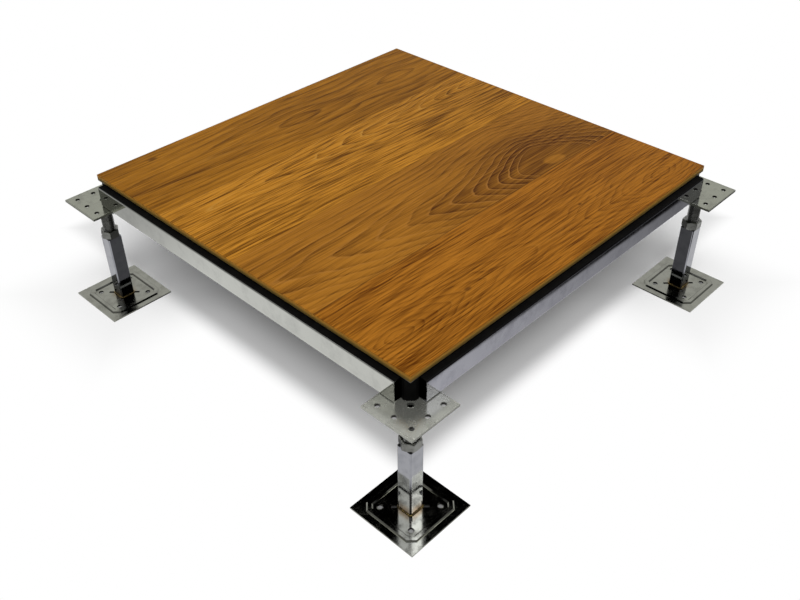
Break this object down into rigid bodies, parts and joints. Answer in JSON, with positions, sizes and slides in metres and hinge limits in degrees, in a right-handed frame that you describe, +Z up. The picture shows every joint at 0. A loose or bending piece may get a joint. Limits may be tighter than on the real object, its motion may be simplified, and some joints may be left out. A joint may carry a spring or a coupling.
{
  "type": "raised access floor panel",
  "caption": "Square wood-topped raised floor panel on a frame of box stringers and adjustable screw pedestals with pressed base plates.",
  "frame": {"origin": "on the slab, under the middle of the panel", "axes": "+X along the boards' grain, +Z up, so -X -Y is the corner nearest the picture's camera"},
  "size_m": [0.7, 0.7, 0.2075],
  "materials": {
    "board_1": "satin oiled oak, reddish gold",
    "board_2": "satin oiled oak, darker brown",
    "board_3": "satin oiled oak, light gold",
    "board_4": "satin oiled oak, even brown",
    "top_sheet": "zinc plated sheet",
    "pan_paint": "black powder paint",
    "cement": "matt light cement",
    "stringer_steel": "bright plated",
    "gasket": "matt black strip",
    "foot_plastic": "matt black",
    "plate_steel": "bright plated sheet",
    "stud_steel": "plated thread",
    "nut_steel": "plated",
    "tube_steel": "bright plated tube"
  },
  "bodies": {
    "base_front_left": {"base_plate_front_left": "plate_steel", "base_tube_front_left": "tube_steel"},
    "deck": {"plank_1": "board_1", "plank_2": "board_2", "plank_3": "board_3", "plank_4": "board_4", "top_sheet": "top_sheet", "bottom_pan": "pan_paint", "cement_core": "cement", "stringer_front": "stringer_steel", "gasket_front": "gasket", "stringer_back": "stringer_steel", "gasket_back": "gasket", "stringer_left": "stringer_steel", "gasket_left": "gasket", "stringer_right": "stringer_steel", "gasket_right": "gasket", "corner_foot_front_left": "foot_plastic", "head_plate_front_left": "plate_steel", "stud_front_left": "stud_steel", "corner_foot_front_right": "foot_plastic", "head_plate_front_right": "plate_steel", "stud_front_right": "stud_steel", "corner_foot_back_left": "foot_plastic", "head_plate_back_left": "plate_steel", "stud_back_left": "stud_steel", "corner_foot_back_right": "foot_plastic", "head_plate_back_right": "plate_steel", "stud_back_right": "stud_steel"},
    "base_front_right": {"base_plate_front_right": "plate_steel", "base_tube_front_right": "tube_steel"},
    "base_back_left": {"base_plate_back_left": "plate_steel", "base_tube_back_left": "tube_steel"},
    "base_back_right": {"base_plate_back_right": "plate_steel", "base_tube_back_right": "tube_steel"},
    "nut_front_left": {"levelling_nut_front_left": "nut_steel"},
    "nut_front_right": {"levelling_nut_front_right": "nut_steel"},
    "nut_back_left": {"levelling_nut_back_left": "nut_steel"},
    "nut_back_right": {"levelling_nut_back_right": "nut_steel"}
  },
  "joints": [
    {"name": "height", "type": "slide", "parent": "base_front_left", "child": "deck", "axis": [0, 0, 1], "range_m": [-0.025, 0.025]},
    {"name": "stand_front_right", "type": "slide", "parent": "deck", "child": "base_front_right", "axis": [0, 0, 1], "range_m": [-0.025, 0.025]},
    {"name": "stand_back_left", "type": "slide", "parent": "deck", "child": "base_back_left", "axis": [0, 0, 1], "range_m": [-0.025, 0.025]},
    {"name": "stand_back_right", "type": "slide", "parent": "deck", "child": "base_back_right", "axis": [0, 0, 1], "range_m": [-0.025, 0.025]},
    {"name": "turn_nut_front_left", "type": "hinge", "parent": "base_front_left", "child": "nut_front_left", "pos_m": [-0.3, -0.3, 0.1125], "axis": [0, 0, 1], "range_deg": [-4500, 4500]},
    {"name": "turn_nut_front_right", "type": "hinge", "parent": "base_front_right", "child": "nut_front_right", "pos_m": [0.3, -0.3, 0.1125], "axis": [0, 0, 1], "range_deg": [-4500, 4500]},
    {"name": "turn_nut_back_left", "type": "hinge", "parent": "base_back_left", "child": "nut_back_left", "pos_m": [-0.3, 0.3, 0.1125], "axis": [0, 0, 1], "range_deg": [-4500, 4500]},
    {"name": "turn_nut_back_right", "type": "hinge", "parent": "base_back_right", "child": "nut_back_right", "pos_m": [0.3, 0.3, 0.1125], "axis": [0, 0, 1], "range_deg": [-4500, 4500]}
  ],
  "couplings": [
    {"joint": "stand_front_right", "follows": "height", "ratio": -1},
    {"joint": "stand_back_left", "follows": "height", "ratio": -1},
    {"joint": "stand_back_right", "follows": "height", "ratio": -1},
    {"joint": "turn_nut_front_left", "follows": "height", "rad_per_m": -3141.6},
    {"joint": "turn_nut_front_right", "follows": "height", "rad_per_m": -3141.6},
    {"joint": "turn_nut_back_left", "follows": "height", "rad_per_m": -3141.6},
    {"joint": "turn_nut_back_right", "follows": "height", "rad_per_m": -3141.6}
  ]
}
